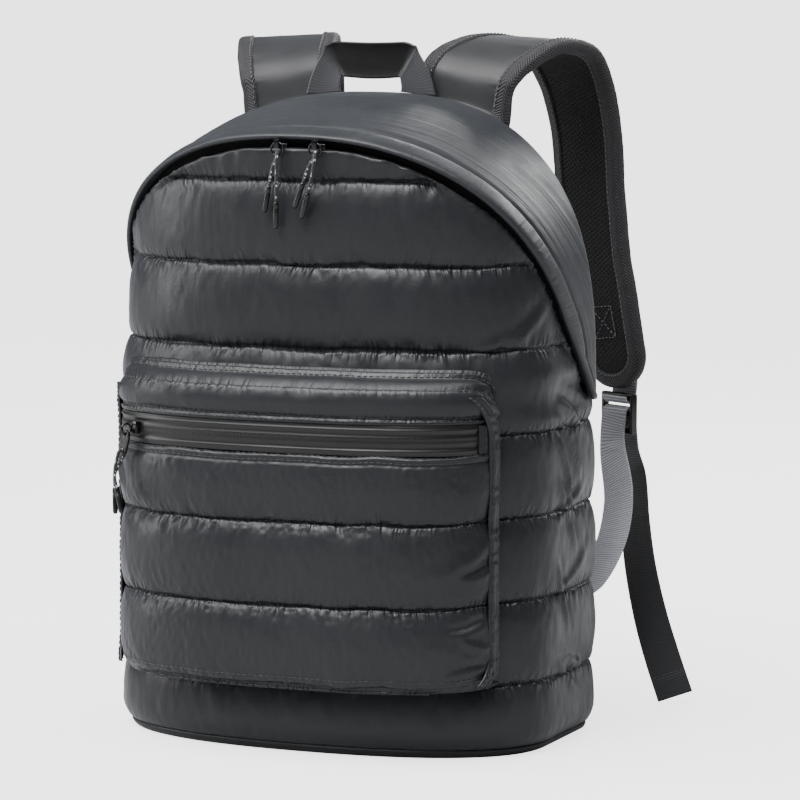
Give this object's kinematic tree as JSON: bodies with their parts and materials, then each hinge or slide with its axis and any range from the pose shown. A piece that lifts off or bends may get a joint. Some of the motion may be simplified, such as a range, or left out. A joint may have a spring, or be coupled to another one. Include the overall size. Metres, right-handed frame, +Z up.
{
  "type": "quilted puffer backpack",
  "caption": "Quilted padded backpack with an arched zipped hood, a puffed front pocket, a webbing grab handle and two curved shoulder straps with adjusters.",
  "frame": {"origin": "middle of the flat base panel, on the surface the bag stands on", "axes": "+Z up to the handle, -Y out of the front pocket, +Y out of the back panel towards the wearer, +X to the right in the front view"},
  "size_m": [0.371, 0.3134, 0.4652],
  "materials": {
    "quilted_nylon": "charcoal downproof nylon with a soft sheen",
    "smooth_nylon": "charcoal nylon, smooth, soft sheen",
    "dark_nylon": "dark coated nylon, matt",
    "air_mesh": "black spacer mesh",
    "coated_tape": "black zip tape with a coated, slightly glossy face",
    "binding_tape": "black ribbed binding tape with stitching",
    "webbing": "woven charcoal webbing",
    "moulded_plastic": "black moulded plastic, satin",
    "black_metal": "black lacquered metal",
    "pull_cord": "black braided cord with pale flecks"
  },
  "bodies": {
    "root": {"quilted_body": "quilted_nylon", "base_panel": "dark_nylon", "top_gusset": "smooth_nylon", "zip_flap": "smooth_nylon", "main_zip_tape": "coated_tape", "back_panel": "air_mesh", "pocket_panel": "quilted_nylon", "pocket_top": "quilted_nylon", "pocket_zip_tape": "coated_tape", "haul_handle": "webbing", "pocket_zip_slider": "black_metal", "pocket_pull_tab": "moulded_plastic", "pocket_pull_cord": "pull_cord", "pocket_pull_tip_a": "moulded_plastic", "pocket_pull_tip_b": "moulded_plastic", "pocket_binding_left": "binding_tape", "shoulder_strap_left": "smooth_nylon", "strap_binding_left": "binding_tape", "ladder_lock_left": "moulded_plastic", "lock_loop_left": "webbing", "adjuster_web_left": "webbing", "web_anchor_left": "dark_nylon", "main_zip_slider_left": "black_metal", "main_pull_ring_left": "black_metal", "main_pull_cord_left": "pull_cord", "main_pull_tip_left_a": "moulded_plastic", "main_pull_tip_left_b": "moulded_plastic", "pocket_binding_right": "binding_tape", "shoulder_strap_right": "smooth_nylon", "strap_binding_right": "binding_tape", "ladder_lock_right": "moulded_plastic", "lock_loop_right": "webbing", "adjuster_web_right": "webbing", "web_anchor_right": "dark_nylon", "main_zip_slider_right": "black_metal", "main_pull_ring_right": "black_metal", "main_pull_cord_right": "pull_cord", "main_pull_tip_right_a": "moulded_plastic", "main_pull_tip_right_b": "moulded_plastic"}
  },
  "joints": []
}
